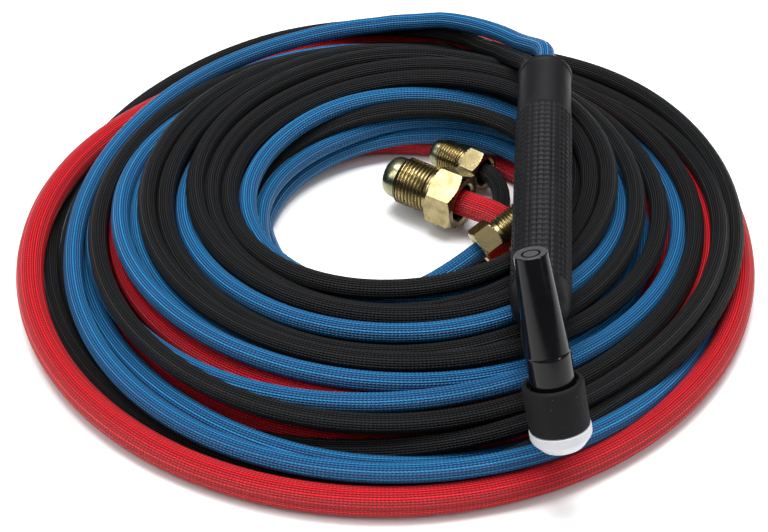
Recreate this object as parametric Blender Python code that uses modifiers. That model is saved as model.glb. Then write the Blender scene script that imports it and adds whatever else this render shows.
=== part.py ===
"""Water-cooled TIG welding torch lying on the round coil of its own three hoses.

Units are metres and +Z is up. The origin is on the flat underside of the hose coil, straight
below the front end of the torch's handle, and +Y runs along the handle towards its hoses.
Places marked as "from the coil's centre" are turned into world places by from_coil().

The torch has a 70 degree head: a brass body in a silicone rubber moulding, with a PTFE cup
gasket below it and a long screwed back cap above. Three metal tubes run from the head through
the neck into the handle, where each carries one hose. At its far end each hose has a nipple
with a swivelling male nut.
"""

import math

import bmesh
import bpy
from mathutils import Matrix, Vector

# The hose coil, which everything lies on.
COIL_CENTRE = Vector((-0.064, 0.100, 0.0))
COIL_RADIUS = 0.166
COIL_EDGE_HEIGHT = 0.012
COIL_CREST_HEIGHT = 0.0358
HOLE_CENTRE = (0.018, 0.004)  # from the coil's centre
HOLE_RADIUS = 0.069

# The hoses.
POWER_HOSE_RADIUS = 0.0060
GAS_HOSE_RADIUS = 0.00415
WATER_HOSE_RADIUS = 0.00415

# The torch's head. Heights run up its axis from the gasket's front face to the cap's tip.
HEAD_FOOT = (0.0676, -0.1524, 0.0291)  # from the coil's centre
HEAD_AXIS = Vector((-0.186, 0.2995, 0.9358)).normalized()
GASKET_HEIGHT = 0.008
COLLAR_TOP = 0.027
CAP_TIP = 0.079
NECK_HEIGHT = 0.0148
NECK_ANGLE = math.radians(71)
HEAD_BODY_RADIUS = 0.0084
SOCKET_RADIUS = 0.0048
CAP_THREAD_RADIUS = 0.0048
COLLAR_RADIUS = 0.0117

# The handle. Heights run along its axis from its front end to its rear end.
HANDLE_FRONT = (0.0617, -0.0998, 0.0475)  # from the coil's centre
HANDLE_AXIS = Vector((0.0805, 0.9935, 0.0805)).normalized()
HANDLE_LENGTH = 0.155
HANDLE_RADIUS = 0.0125
HANDLE_BORE = 0.0114
NECK_RADIUS = 0.0074
NECK_BORE = 0.0063

# Hose ends inside the handle, as heights along its axis.
POWER_JOINT = HANDLE_LENGTH - 0.028
SMALL_JOINT = HANDLE_LENGTH - 0.014

# The standard threads of the fittings: 7/8 inch and 5/8 inch.
POWER_THREAD_RADIUS = 0.0111
SMALL_THREAD_RADIUS = 0.0079

GAP = 0.0003
FINE_STEPS = 24
SMALL_STEPS = 16


def from_coil(x, y, z):
    """A world place, from one given from the coil's centre."""
    return COIL_CENTRE + Vector((x, y, z))


# ---------------------------------------------------------------- scene, materials, helpers


def clear_scene():
    for obj in list(bpy.data.objects):
        bpy.data.objects.remove(obj, do_unlink=True)


def new_collection(name):
    collection = bpy.data.collections.new(name)
    bpy.context.scene.collection.children.link(collection)
    return collection


def material(name, colour, roughness, metallic=0.0):
    made = bpy.data.materials.new(name)
    made.use_nodes = True
    shader = made.node_tree.nodes["Principled BSDF"]
    shader.inputs["Base Color"].default_value = (*colour, 1.0)
    shader.inputs["Roughness"].default_value = roughness
    shader.inputs["Metallic"].default_value = metallic
    return made


def add_object(name, data, parent=None, finish=None):
    """A new object in the torch's collection or, with no finish, a cutter."""
    obj = bpy.data.objects.new(name, data)
    if finish is None:
        CUTTERS.objects.link(obj)
        obj.hide_render = True
        obj.display_type = "WIRE"
    else:
        TORCH.objects.link(obj)
        obj.data.materials.append(finish)
    obj.parent = parent
    return obj


def axis_empty(name, place, direction, up=Vector((0.0, 0.0, 1.0))):
    """An empty whose +Z runs along direction, with its +Y as near to up as it can be."""
    z_axis = direction.normalized()
    x_axis = up.cross(z_axis).normalized()
    y_axis = z_axis.cross(x_axis)
    turned = Matrix((x_axis, y_axis, z_axis)).transposed().to_4x4()
    empty = bpy.data.objects.new(name, None)
    empty.matrix_world = Matrix.Translation(place) @ turned
    TORCH.objects.link(empty)
    bpy.context.view_layer.update()
    return empty


def turned(name, profile, parent, finish, steps=FINE_STEPS, closed=True):
    """A turned piece. Its profile of (radius, height) runs down the outer side, top to bottom,
    and back up the bore; a piece with no bore starts and ends on the axis and isn't closed."""
    mesh = bpy.data.meshes.new(name)
    points = [(radius, 0.0, height) for radius, height in profile]
    edges = [(i, i + 1) for i in range(len(points) - 1)]
    if closed:
        edges.append((len(points) - 1, 0))
    mesh.from_pydata(points, edges, [])
    obj = add_object(name, mesh, parent, finish)
    screw = obj.modifiers.new("turn", "SCREW")
    screw.steps = steps
    screw.render_steps = steps
    screw.use_merge_vertices = True
    screw.merge_threshold = 0.00001
    screw.use_smooth_shade = True
    return obj


def smooth_route(points, spacing):
    """Points about one spacing apart on a smooth curve through the given points."""
    ends = [2 * points[0] - points[1], *points, 2 * points[-1] - points[-2]]
    route = [points[0]]
    for before, start, end, after in zip(ends, ends[1:], ends[2:], ends[3:]):
        pieces = max(1, round((end - start).length / spacing))
        for i in range(1, pieces):
            t = i / pieces
            even = 2 * start + (end - before) * t
            bend = (2 * before - 5 * start + 4 * end - after) * t**2
            twist = (3 * start - before - 3 * end + after) * t**3
            route.append((even + bend + twist) / 2)
        route.append(end)
    return route


def tube(name, route, radius, finish, sides=3):
    """A round solid bar along a route, as a mesh. Sides is the curve's bevel resolution."""
    curve = bpy.data.curves.new(name, "CURVE")
    curve.dimensions = "3D"
    curve.bevel_depth = radius
    curve.bevel_resolution = sides
    curve.use_fill_caps = True
    spline = curve.splines.new("POLY")
    spline.points.add(len(route) - 1)
    for point, place in zip(spline.points, route):
        point.co = (*place, 1.0)
    return add_object(name, curve, None, finish)


def as_mesh(obj, finish):
    """The same piece as a welded mesh, which a Boolean can cut or use."""
    bpy.context.view_layer.update()
    evaluated = obj.evaluated_get(bpy.context.evaluated_depsgraph_get())
    mesh = bpy.data.meshes.new_from_object(evaluated)
    welded = bmesh.new()
    welded.from_mesh(mesh)
    bmesh.ops.remove_doubles(welded, verts=welded.verts, dist=0.00001)
    bmesh.ops.recalc_face_normals(welded, faces=welded.faces)
    welded.to_mesh(mesh)
    welded.free()
    mesh.materials.clear()
    name = obj.name
    place = obj.matrix_world.copy()
    bpy.data.objects.remove(obj, do_unlink=True)
    made = add_object(name, mesh, None, finish)
    made.matrix_world = place
    return made


def combine(obj, other, operation):
    """Cut other from obj, join it on or keep what both share, in a Boolean modifier."""
    change = obj.modifiers.new(other.name, "BOOLEAN")
    change.operation = operation
    change.object = other
    change.solver = "EXACT"


clear_scene()
TORCH = new_collection("tig_torch")
CUTTERS = new_collection("cutters")

BLACK_SILICONE = material("black_silicone", (0.018, 0.018, 0.020), 0.62)
BLACK_HANDLE = material("black_handle_plastic", (0.020, 0.020, 0.022), 0.48)
BLACK_PHENOLIC = material("black_phenolic", (0.008, 0.008, 0.009), 0.16)
WHITE_PTFE = material("white_ptfe", (0.83, 0.84, 0.86), 0.42)
RING_RUBBER = material("o_ring_rubber", (0.02, 0.02, 0.02), 0.5)
COPPER = material("copper_tube", (0.72, 0.38, 0.22), 0.35, 1.0)
BRASS = material("brass", (0.62, 0.50, 0.22), 0.3, 1.0)
STEEL = material("crimped_steel", (0.60, 0.60, 0.58), 0.4, 1.0)
RED_BRAID = material("red_braid", (0.62, 0.015, 0.03), 0.45)
BLACK_BRAID = material("black_braid", (0.02, 0.02, 0.022), 0.6)
BLUE_BRAID = material("blue_braid", (0.03, 0.17, 0.45), 0.45)

# ---------------------------------------------------------------- the head

head_axis = axis_empty("head_axis", from_coil(*HEAD_FOOT), HEAD_AXIS, HANDLE_AXIS)
neck_root = from_coil(*HEAD_FOOT) + HEAD_AXIS * NECK_HEIGHT
handle_front = from_coil(*HANDLE_FRONT)
handle_axis = axis_empty("handle_axis", handle_front, HANDLE_AXIS)


def in_handle(side, up, height):
    """A world place in the handle, from its axis and its front end; side is to the right."""
    return handle_axis.matrix_world @ Vector((-side, up, height))


def neck_direction():
    """The way the neck leaves the head, at its angle to the head's axis."""
    to_handle = handle_front - neck_root
    across = (to_handle - HEAD_AXIS * to_handle.dot(HEAD_AXIS)).normalized()
    return across * math.sin(NECK_ANGLE) + HEAD_AXIS * math.cos(NECK_ANGLE)


NECK_DIRECTION = neck_direction()
NECK_LINE = [
    neck_root + NECK_DIRECTION * 0.0050,
    neck_root + NECK_DIRECTION * 0.0090,
    neck_root + NECK_DIRECTION * 0.0120,
    neck_root + NECK_DIRECTION * 0.0150,
    in_handle(0.0, 0.0, -0.012),
    handle_front,
    in_handle(0.0, 0.0, 0.012),
    in_handle(0.0, 0.0, 0.024),
]


def make_head_body():
    """The brass body: socket for the collet body below, thread for the back cap above, and a
    boss towards the neck that the three tubes are brazed to."""
    foot, top = 0.0033, 0.0245
    seal_radius, seal_floor = 0.0076, 0.0205
    profile = [
        (HEAD_BODY_RADIUS - 0.0004, top),
        (HEAD_BODY_RADIUS, top - 0.0004),
        (HEAD_BODY_RADIUS, foot + 0.0008),
        (HEAD_BODY_RADIUS - 0.0008, foot),
        (SOCKET_RADIUS + 0.0006, foot),
        (SOCKET_RADIUS, foot + 0.0006),
        (SOCKET_RADIUS, 0.0150),
        (CAP_THREAD_RADIUS, seal_floor),
        (seal_radius, seal_floor),
        (seal_radius, top),
    ]
    body = turned("head_body", profile, head_axis, BRASS)
    # The boss starts inside the wall of the body, clear of its bore.
    boss_radius, boss_inner, boss_outer = 0.0060, 0.0062, 0.0115
    shape = [(0.0, boss_outer), (boss_radius, boss_outer), (boss_radius, boss_inner), (0.0, boss_inner)]
    boss_axis = axis_empty("neck_axis", neck_root, NECK_DIRECTION, HEAD_AXIS)
    boss = turned("boss_shape", shape, boss_axis, None, closed=False)
    combine(body, boss, "UNION")
    # The boss's inner end is flat, so its corners are trimmed back to the round bore again.
    bore = [(0.0, seal_floor - 0.0002), (CAP_THREAD_RADIUS, seal_floor - 0.0002), (CAP_THREAD_RADIUS, 0.0), (0.0, 0.0)]
    combine(body, turned("bore_shape", bore, head_axis, None, closed=False), "DIFFERENCE")
    seal = [(0.0, top + 0.001), (seal_radius, top + 0.001), (seal_radius, seal_floor), (0.0, seal_floor)]
    combine(body, turned("seal_shape", seal, head_axis, None, closed=False), "DIFFERENCE")


def make_cup_gasket():
    """The PTFE ring that the cup is tightened against: a short cylinder, then a cone down to
    its flat front face. It holds the foot of the brass body."""
    face_radius, mouth_radius, nest_floor = 0.0083, 0.0056, 0.0030
    nest_radius = HEAD_BODY_RADIUS + GAP
    profile = [
        (0.0115, GASKET_HEIGHT),
        (0.0119, GASKET_HEIGHT - 0.0004),
        (0.0119, 0.0046),
        (0.0115, 0.0037),
        (face_radius + 0.0004, 0.0002),
        (face_radius, 0.0),
        (mouth_radius, 0.0),
        (mouth_radius, nest_floor),
        (nest_radius, nest_floor),
        (nest_radius, GASKET_HEIGHT),
    ]
    turned("cup_gasket", profile, head_axis, WHITE_PTFE)


def make_head_insulation():
    """The silicone rubber moulding: a collar round the brass body, with a recess for the back
    cap's foot, and the hollow neck that carries the tubes into the handle."""
    foot = GASKET_HEIGHT + GAP
    profile = [
        (0.0, COLLAR_TOP),
        (COLLAR_RADIUS - 0.0010, COLLAR_TOP),
        (COLLAR_RADIUS - 0.0003, COLLAR_TOP - 0.0004),
        (COLLAR_RADIUS, COLLAR_TOP - 0.0012),
        (COLLAR_RADIUS, foot + 0.0006),
        (COLLAR_RADIUS - 0.0005, foot),
        (0.0, foot),
    ]
    collar = turned("head_insulation", profile, head_axis, BLACK_SILICONE, closed=False)
    line = smooth_route(NECK_LINE, 0.005)
    combine(collar, as_mesh(tube("neck_shape", line, NECK_RADIUS, None, sides=4), None), "UNION")
    recess_floor, recess_radius = 0.0248, 0.0094
    room = [
        (0.0, COLLAR_TOP + 0.0050),
        (recess_radius + 0.0003, COLLAR_TOP + 0.0050),
        (recess_radius + 0.0003, COLLAR_TOP - 0.0002),
        (recess_radius, COLLAR_TOP - 0.0006),
        (recess_radius, recess_floor),
        (HEAD_BODY_RADIUS + GAP, recess_floor),
        (HEAD_BODY_RADIUS + GAP, foot - 0.0010),
        (0.0, foot - 0.0010),
    ]
    combine(collar, turned("head_room", room, head_axis, None, closed=False), "DIFFERENCE")
    past_end = NECK_LINE[-1] + HANDLE_AXIS * 0.002
    line = smooth_route([*NECK_LINE, past_end], 0.005)
    combine(collar, as_mesh(tube("neck_passage", line, NECK_BORE, None, sides=4), None), "DIFFERENCE")


def make_back_cap():
    """The long back cap: a stem with the thread, a foot that sits in the collar and a tapered
    body. The bore takes the spare length of the electrode."""
    foot, step = 0.0252, 0.0390
    foot_radius, body_radius, tip_radius = 0.0087, 0.0084, 0.0065
    stem_radius, stem_end = CAP_THREAD_RADIUS - GAP, 0.0165
    groove_radius, groove_top, groove_bottom = 0.0042, 0.0243, 0.0214
    bore_radius, bore_end = 0.0026, 0.0700
    profile = [
        (0.0, CAP_TIP - 0.0004),
        (0.0028, CAP_TIP - 0.0004),
        (0.0032, CAP_TIP),
        (tip_radius - 0.0008, CAP_TIP),
        (tip_radius - 0.0002, CAP_TIP - 0.0002),
        (tip_radius, CAP_TIP - 0.0008),
        (body_radius, step + 0.0003),
        (foot_radius, step),
        (foot_radius, foot + 0.0005),
        (foot_radius - 0.0005, foot),
        (0.0058, foot),
        (0.0058, groove_top),
        (groove_radius, groove_top),
        (groove_radius, groove_bottom),
        (stem_radius, groove_bottom),
        (stem_radius, stem_end),
        (bore_radius, stem_end),
        (bore_radius, bore_end),
        (0.0, bore_end + 0.0012),
    ]
    turned("back_cap", profile, head_axis, BLACK_PHENOLIC, closed=False)


def make_back_cap_o_ring():
    """The seal under the back cap's foot, a ring of round section in the stem's groove."""
    ring_radius, section_radius, height, sides = 0.0058, 0.0012, 0.02285, 10
    profile = []
    for i in range(sides):
        turn = -2 * math.pi * i / sides
        profile.append((ring_radius + section_radius * math.cos(turn), height + section_radius * math.sin(turn)))
    turned("back_cap_o_ring", profile, head_axis, RING_RUBBER)


# ---------------------------------------------------------------- tubes and handle

# Each tube's place across the neck and across the handle: (to the right, up).
TUBES = {
    "power_tube": {"radius": 0.0032, "neck": (0.0, -0.0028), "handle": (0.0035, -0.0036), "end": POWER_JOINT},
    "gas_tube": {"radius": 0.0021, "neck": (-0.0025, 0.0029), "handle": (-0.00665, 0.0003), "end": SMALL_JOINT},
    "water_tube": {"radius": 0.0021, "neck": (0.0025, 0.0029), "handle": (0.0, 0.00665), "end": SMALL_JOINT},
}


def beside(line, across, height):
    """A line that runs beside another: across to its right and height above it."""
    route = []
    for i, place in enumerate(line):
        along = (line[min(i + 1, len(line) - 1)] - line[max(i - 1, 0)]).normalized()
        right = along.cross(Vector((0.0, 0.0, 1.0))).normalized()
        route.append(place + right * across + right.cross(along) * height)
    return route


def make_tubes():
    """The three tubes from the head's boss to the hose joints: power and water back to the
    cooler, gas, and water from the cooler."""
    middle = smooth_route(NECK_LINE, 0.005)
    start = middle.index(NECK_LINE[2])
    for name, made in TUBES.items():
        route = beside(middle[start:], *made["neck"])
        spread = [in_handle(*made["handle"], height) for height in (0.060, 0.085, 0.110)]
        spread.append(in_handle(*made["handle"], made["end"] - GAP - 0.0002))
        route += smooth_route([route[-1], *spread], 0.012)[1:]
        as_mesh(tube(name, route, made["radius"], COPPER, sides=2), COPPER)


def make_handle():
    """The handle, a long sleeve: its front end closes round the neck and its rear end is open
    for the hoses, with a thin lip."""
    mouth = NECK_RADIUS + 0.0005
    profile = [
        (HANDLE_BORE + 0.0004, HANDLE_LENGTH),
        (HANDLE_RADIUS - 0.0002, HANDLE_LENGTH - 0.0003),
        (HANDLE_RADIUS - 0.0001, HANDLE_LENGTH - 0.0020),
        (HANDLE_RADIUS - 0.0004, HANDLE_LENGTH - 0.0026),
        (HANDLE_RADIUS - 0.0004, HANDLE_LENGTH - 0.0240),
        (HANDLE_RADIUS, 0.0800),
        (HANDLE_RADIUS, 0.0100),
        (HANDLE_RADIUS - 0.0008, 0.0040),
        (HANDLE_RADIUS - 0.0022, 0.0010),
        (HANDLE_RADIUS - 0.0032, 0.0),
        (mouth, 0.0),
        (mouth, 0.0080),
        (HANDLE_BORE, 0.0130),
        (HANDLE_BORE, HANDLE_LENGTH - 0.0004),
    ]
    turned("handle", profile, handle_axis, BLACK_HANDLE, steps=32)


def make_sleeve(name, parent, place, height, length, inner, outer, finish):
    """A crimped ferrule: a plain sleeve with eased ends, starting at a height on its axis."""
    ease = 0.0002
    profile = [
        (outer - ease, length),
        (outer, length - ease),
        (outer, ease),
        (outer - ease, 0.0),
        (inner, 0.0),
        (inner, length),
    ]
    sleeve = turned(name, profile, parent, finish, steps=SMALL_STEPS)
    sleeve.location = (-place[0], place[1], height)


def make_handle_ferrules():
    """The ferrules that hold the three hoses on their tubes inside the handle."""
    power_length, small_length = 0.0150, 0.0125
    make_sleeve("power_tube_ferrule", handle_axis, TUBES["power_tube"]["handle"],
                POWER_JOINT - GAP - power_length, power_length, 0.0036, 0.0062, STEEL)
    for name in ("gas_tube", "water_tube"):
        make_sleeve(f"{name}_ferrule", handle_axis, TUBES[name]["handle"],
                    SMALL_JOINT - GAP - small_length, small_length, 0.0025, 0.0044, BRASS)


# ---------------------------------------------------------------- the fittings

# Each fitting: the centre of its nut's rear face, from the coil's centre, the way its nose
# points, and its sizes. Heights in a fitting run from that rear face to the nose.
FITTINGS = {
    "power": {
        "place": (0.0364, 0.0162, 0.0154), "points": (-0.846, 0.528, 0.030),
        "thread": POWER_THREAD_RADIUS, "across_flats": 0.0254, "hex": 0.014, "nut": 0.032,
        "rear_bore": 0.0084, "front_bore": 0.0059, "nose": 0.0092, "length": 0.040,
        "stem": 0.0055, "passage": 0.0026, "ferrule": 0.0070, "hose_end": 0.0080,
    },
    "gas": {
        "place": (0.0480, 0.0450, 0.0118), "points": (-0.780, 0.625, -0.030),
        "thread": SMALL_THREAD_RADIUS, "across_flats": 0.0180, "hex": 0.010, "nut": 0.0245,
        "rear_bore": 0.0060, "front_bore": 0.0040, "nose": 0.0063, "length": 0.030,
        "stem": 0.0036, "passage": 0.0016, "ferrule": 0.0050, "hose_end": 0.0055,
    },
    "water": {
        "place": (0.0423, -0.0237, 0.0196), "points": (0.800, 0.420, 0.430),
        "thread": SMALL_THREAD_RADIUS, "across_flats": 0.0180, "hex": 0.010, "nut": 0.0245,
        "rear_bore": 0.0060, "front_bore": 0.0040, "nose": 0.0063, "length": 0.030,
        "stem": 0.0036, "passage": 0.0016, "ferrule": 0.0050, "hose_end": 0.0055,
    },
}


def make_nut(name, axis, size):
    """A male nut that swivels on its nipple: a hexagon with chamfered corners, then the thread.
    Its rear bore takes the ferrule and its front bore the nipple's stem."""
    corner = size["across_flats"] / 2 / math.cos(math.pi / 6)
    root = size["hex"]
    hexagon = bmesh.new()
    bmesh.ops.create_cone(hexagon, cap_ends=True, segments=6, radius1=corner, radius2=corner, depth=root)
    bmesh.ops.translate(hexagon, verts=hexagon.verts, vec=(0.0, 0.0, root / 2))
    mesh = bpy.data.meshes.new(name)
    hexagon.to_mesh(mesh)
    hexagon.free()
    nut = add_object(name, mesh, axis, BRASS)
    # Cones at both ends of the hexagon take its corners off.
    chamfer = corner - size["across_flats"] / 2
    face = size["across_flats"] / 2 - 0.0002
    cone = [
        (0.0, root + 0.0001), (face, root + 0.0001), (face, root), (corner + 0.0002, root - chamfer * 0.7),
        (corner + 0.0002, chamfer * 0.7), (face, 0.0), (face, -0.0001), (0.0, -0.0001),
    ]
    combine(nut, turned(f"{name}_chamfer", cone, axis, None, closed=False), "INTERSECT")
    end, thread = size["nut"], size["thread"]
    barrel = [
        (0.0, end), (thread - 0.0012, end), (thread, end - 0.0012), (thread, root - 0.0020),
        (0.0, root - 0.0020),
    ]
    combine(nut, turned(f"{name}_barrel", barrel, axis, None, closed=False), "UNION")
    rear, front, floor = size["rear_bore"], size["front_bore"], size["nut"] - 0.0115
    bore = [
        (0.0, end + 0.001), (front, end + 0.001), (front, floor), (rear, floor), (rear, 0.0012),
        (rear + 0.0013, -0.0001), (0.0, -0.0001),
    ]
    combine(nut, turned(f"{name}_bore", bore, axis, None, closed=False), "DIFFERENCE")


def make_nipple(name, axis, size):
    """The nipple: a domed nose that seals, a stem inside the nut, a tail inside the hose and a
    passage right through."""
    front, tip = size["nut"] + GAP, size["length"]
    nose, stem, passage = size["nose"], size["stem"], size["passage"]
    shoulder = size["nut"] - 0.0112
    tail = passage + 0.0009
    dome = []
    bends = 4
    for i in range(bends + 1):
        turn = math.pi / 2 * i / bends
        dome.append((
            nose - (nose - passage - 0.0020) * (1 - math.sin(turn)),
            tip - (tip - front - 0.0012) * (1 - math.cos(turn)),
        ))
    profile = [
        *dome,
        (nose, front),
        (stem, front),
        (stem, shoulder),
        (tail, shoulder),
        (tail, size["hose_end"] + 0.0008),
        (passage, size["hose_end"] + 0.0008),
        (passage, tip),
    ]
    turned(name, profile, axis, BRASS, steps=SMALL_STEPS)


def make_fittings():
    for name, size in FITTINGS.items():
        axis = axis_empty(f"{name}_fitting_axis", from_coil(*size["place"]), Vector(size["points"]))
        make_nut(f"{name}_nut", axis, size)
        make_nipple(f"{name}_nipple", axis, size)
        shoulder = size["nut"] - 0.0112
        start = size["hose_end"] + GAP
        make_sleeve(f"{name}_hose_ferrule", axis, (0.0, 0.0), start, shoulder - GAP - start,
                    size["passage"] + 0.0012, size["ferrule"], BRASS)


# ---------------------------------------------------------------- the hoses


def coil_profile(grow):
    """The coil's section from its crest at the hole down to its outer edge, (radius, height).
    Grow makes it larger all round."""
    return [
        (0.0, COIL_CREST_HEIGHT + grow),
        (0.100, COIL_CREST_HEIGHT + grow),
        (0.116, 0.0322 + grow),
        (0.130, 0.0240 + grow),
        (0.148, 0.0180 + grow),
        (COIL_RADIUS - 0.004, COIL_EDGE_HEIGHT + 0.002 + grow),
        (COIL_RADIUS + grow, COIL_EDGE_HEIGHT - 0.003),
        (COIL_RADIUS + grow, 0.004),
        (COIL_RADIUS - 0.003 + grow, -grow),
        (0.0, -grow),
    ]


def make_coil_shape(name, finish, grow, hole_radius):
    """The coil's outer shape with its round hole, which lies a little off the coil's centre."""
    centre = axis_empty(f"{name}_axis", COIL_CENTRE, Vector((0.0, 0.0, 1.0)), Vector((0.0, 1.0, 0.0)))
    coil = turned(name, coil_profile(grow), centre, finish, steps=48, closed=False)
    edge, top = 0.006, COIL_CREST_HEIGHT
    hole = [
        (0.0, top + 0.004), (hole_radius + edge, top + 0.004), (hole_radius + edge, top),
        (hole_radius, top - edge), (hole_radius, 0.004), (hole_radius + 0.003, -0.001), (0.0, -0.001),
    ]
    middle = axis_empty(f"{name}_hole_axis", from_coil(*HOLE_CENTRE, 0.0), Vector((0.0, 0.0, 1.0)),
                        Vector((0.0, 1.0, 0.0)))
    combine(coil, turned(f"{name}_hole", hole, middle, None, steps=32, closed=False), "DIFFERENCE")
    return coil


# The stretches that aren't coiled, from the coil's centre. Each lead runs from its joint in the
# handle to the coil's far side, where it goes down into the coil. Each tail starts at its fitting
# and goes into the coil.
LEADS = {
    "power": [
        (0.0782, 0.0630, 0.0562), (0.0768, 0.0770, 0.0518), (0.0705, 0.0943, 0.0432), (0.0608, 0.1132, 0.0345),
        (0.0538, 0.1292, 0.0288), (0.0430, 0.1435, 0.0250), (0.0290, 0.1542, 0.0215), (0.0120, 0.1592, 0.0170),
        (-0.0080, 0.1595, 0.0130),
    ],
    "gas": [
        (0.0682, 0.0620, 0.0600), (0.0660, 0.0730, 0.0555), (0.0618, 0.0860, 0.0495), (0.0563, 0.1020, 0.0429),
        (0.0493, 0.1172, 0.0364), (0.0416, 0.1310, 0.0329), (0.0252, 0.1450, 0.0286), (0.0080, 0.1527, 0.0255),
        (-0.0110, 0.1568, 0.0244),
    ],
    "water": [
        (0.0749, 0.0620, 0.0666), (0.0738, 0.0710, 0.0640), (0.0710, 0.0805, 0.0595), (0.0660, 0.0930, 0.0538),
        (0.0565, 0.1110, 0.0482), (0.0425, 0.1285, 0.0425), (0.0298, 0.1385, 0.0387), (0.0164, 0.1445, 0.0342),
        (0.0035, 0.1472, 0.0318), (-0.0092, 0.1484, 0.0286),
    ],
}
LEAD_ENDS = {
    "power": [(-0.0300, 0.1530, 0.0085), (-0.0500, 0.1400, 0.0060)],
    "gas": [(-0.0300, 0.1555, 0.0195), (-0.0520, 0.1450, 0.0120), (-0.0700, 0.1300, 0.0055)],
    "water": [(-0.0280, 0.1450, 0.0215), (-0.0480, 0.1340, 0.0145), (-0.0660, 0.1180, 0.0085)],
}
POWER_TAIL = [
    (0.0500, 0.0078, 0.0154), (0.0602, -0.0015, 0.0134), (0.0668, -0.0135, 0.0104), (0.0688, -0.0300, 0.0078),
    (0.0640, -0.0470, 0.0064), (0.0560, -0.0610, 0.0061),
]
GAS_TAIL = [
    (0.0530, 0.0405, 0.0106), (0.0553, 0.0320, 0.0076), (0.0541, 0.0210, 0.0052), (0.0508, 0.0080, 0.0046),
    (0.0475, -0.0070, 0.0046), (0.0430, -0.0240, 0.0046), (0.0355, -0.0410, 0.0046), (0.0240, -0.0545, 0.0046),
    (0.0090, -0.0640, 0.0048), (-0.0080, -0.0700, 0.0052),
]
WATER_TAIL = [
    (0.0310, -0.0295, 0.0140), (0.0190, -0.0352, 0.0095), (0.0060, -0.0398, 0.0068), (-0.0080, -0.0425, 0.0055),
    (-0.0230, -0.0412, 0.0050), (-0.0360, -0.0350, 0.0050), (-0.0480, -0.0230, 0.0055),
]


def make_hose(name, route, radius, finish, coil):
    """One uncoiled stretch of hose, cut off where it goes into the coil."""
    solid = as_mesh(tube(name, route, radius, finish, sides=2), finish)
    combine(solid, coil, "DIFFERENCE")


def make_hoses():
    make_coil_shape("hose_coil", BLACK_BRAID, 0.0, HOLE_RADIUS)
    coil = make_coil_shape("coil_clearance", None, GAP, HOLE_RADIUS - GAP)
    leads = [
        ("power", POWER_HOSE_RADIUS, RED_BRAID),
        ("water", WATER_HOSE_RADIUS, BLUE_BRAID),
        ("gas", GAS_HOSE_RADIUS, BLACK_BRAID),
    ]
    for name, radius, finish in leads:
        made = TUBES[f"{name}_tube"]
        line = [in_handle(*made["handle"], made["end"]), in_handle(*made["handle"], HANDLE_LENGTH)]
        line += [from_coil(*place) for place in LEADS[name] + LEAD_ENDS[name]]
        route = smooth_route(line, 2.2 * radius)
        make_hose(f"{name}_hose_lead", route, radius, finish, coil)
    tails = [
        ("power", POWER_TAIL, POWER_HOSE_RADIUS, RED_BRAID),
        ("gas", GAS_TAIL, GAS_HOSE_RADIUS, BLACK_BRAID),
        ("water", WATER_TAIL, WATER_HOSE_RADIUS, BLUE_BRAID),
    ]
    for name, places, radius, finish in tails:
        size = FITTINGS[name]
        rear = from_coil(*size["place"])
        points = Vector(size["points"]).normalized()
        route = [rear + points * size["hose_end"], rear - points * 0.003]
        route += [from_coil(*place) for place in places]
        make_hose(f"{name}_hose_tail", smooth_route(route, 2.2 * radius), radius, finish, coil)


make_head_body()
make_cup_gasket()
make_head_insulation()
make_back_cap()
make_back_cap_o_ring()
make_tubes()
make_handle()
make_handle_ferrules()
make_fittings()
make_hoses()
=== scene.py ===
"""TIG torch lying on the coil of its three braided hoses: the looks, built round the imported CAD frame.

All sizes are in metres, in the CAD's frame: +Y runs along the handle from the head to the hoses, +X to the
right and +Z up. The floor is at height 0.
"""
import math

import bpy
import numpy as np
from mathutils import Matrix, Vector


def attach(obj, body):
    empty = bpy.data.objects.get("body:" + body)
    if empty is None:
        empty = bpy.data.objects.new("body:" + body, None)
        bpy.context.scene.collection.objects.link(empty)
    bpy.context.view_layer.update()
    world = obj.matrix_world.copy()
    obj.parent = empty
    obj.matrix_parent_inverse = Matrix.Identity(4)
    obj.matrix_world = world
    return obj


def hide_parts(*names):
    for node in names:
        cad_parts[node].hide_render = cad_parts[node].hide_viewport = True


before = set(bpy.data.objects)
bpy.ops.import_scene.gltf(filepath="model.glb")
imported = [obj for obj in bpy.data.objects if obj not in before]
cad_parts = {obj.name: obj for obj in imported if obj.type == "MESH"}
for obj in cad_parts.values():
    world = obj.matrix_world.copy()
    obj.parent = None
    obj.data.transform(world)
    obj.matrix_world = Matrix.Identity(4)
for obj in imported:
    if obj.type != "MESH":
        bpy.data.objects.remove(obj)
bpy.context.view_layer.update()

MM = 0.001

# ---------------------------------------- the CAD's driving dimensions

COIL_CENTRE = np.array([-0.064, 0.100, 0.0])
COIL_EDGE = 0.1665
HOLE_CENTRE = np.array([0.0135, 0.004])
HOLE_RADIUS = 0.0655

HEAD_FOOT = COIL_CENTRE + (0.0676, -0.1524, 0.0291)
HEAD_AXIS = np.array([-0.186, 0.2995, 0.9358]) / np.linalg.norm([-0.186, 0.2995, 0.9358])
HANDLE_FRONT = COIL_CENTRE + (0.0617, -0.0998, 0.0475)
HANDLE_AXIS = np.array([0.0805, 0.9935, 0.0805]) / np.linalg.norm([0.0805, 0.9935, 0.0805])
HANDLE_LENGTH = 0.155
HANDLE_RADIUS = 0.0125
# How far up the head's axis the neck leaves it, and at how many degrees to that axis.
NECK_HEIGHT = 0.0148
NECK_LEAN = 71

HOSES = ("power", "gas", "water")
HOSE_RADIUS = {"power": 0.0060, "gas": 0.00415, "water": 0.00415}
# Where each hose starts along the handle, and how far to the right of and above the handle's axis.
HOSE_START = {"power": 0.127, "gas": 0.141, "water": 0.141}
HOSE_PLACE = {"power": (0.0035, -0.0036), "gas": (-0.00665, 0.0003), "water": (0.0, 0.00665)}

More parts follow.
